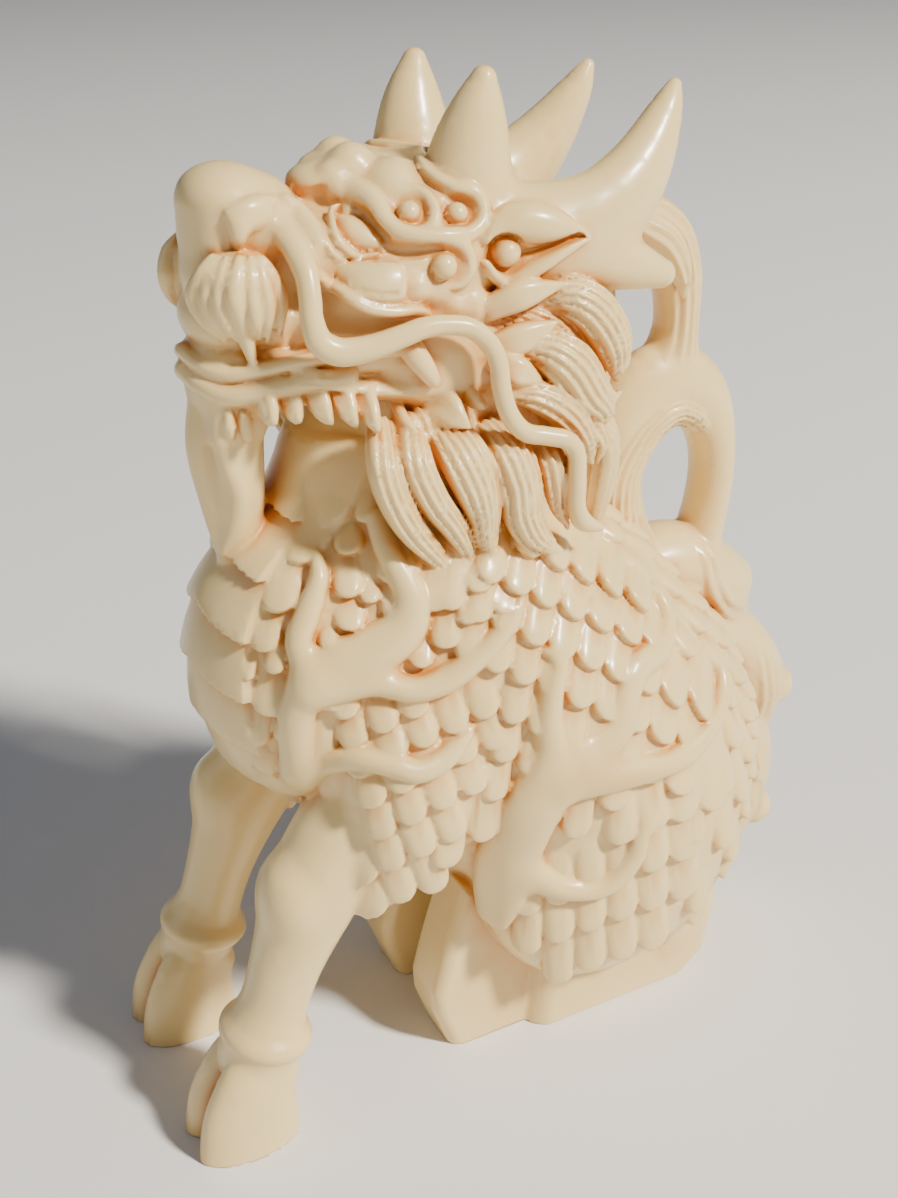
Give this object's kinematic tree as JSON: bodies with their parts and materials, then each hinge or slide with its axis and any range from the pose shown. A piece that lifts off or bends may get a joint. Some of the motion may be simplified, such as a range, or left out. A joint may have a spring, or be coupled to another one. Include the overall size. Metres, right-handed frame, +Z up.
{
  "type": "qilin figurine",
  "caption": "Seated dragon-headed qilin, cast in one piece: horned head on a bearded neck, scaled body, looped tail and cloven hooves that stand on a table as an ornament.",
  "frame": {"origin": "middle of the footprint, at the height of the soles", "axes": "+Z up, -Y the way the figure faces, +X towards its left side, which is the side the picture shows"},
  "size_m": [0.049, 0.095, 0.1201],
  "materials": {
    "resin": "ivory-coloured cast resin with a soft waxy gloss"
  },
  "bodies": {
    "root": {"qilin_figurine": "resin"}
  },
  "joints": []
}
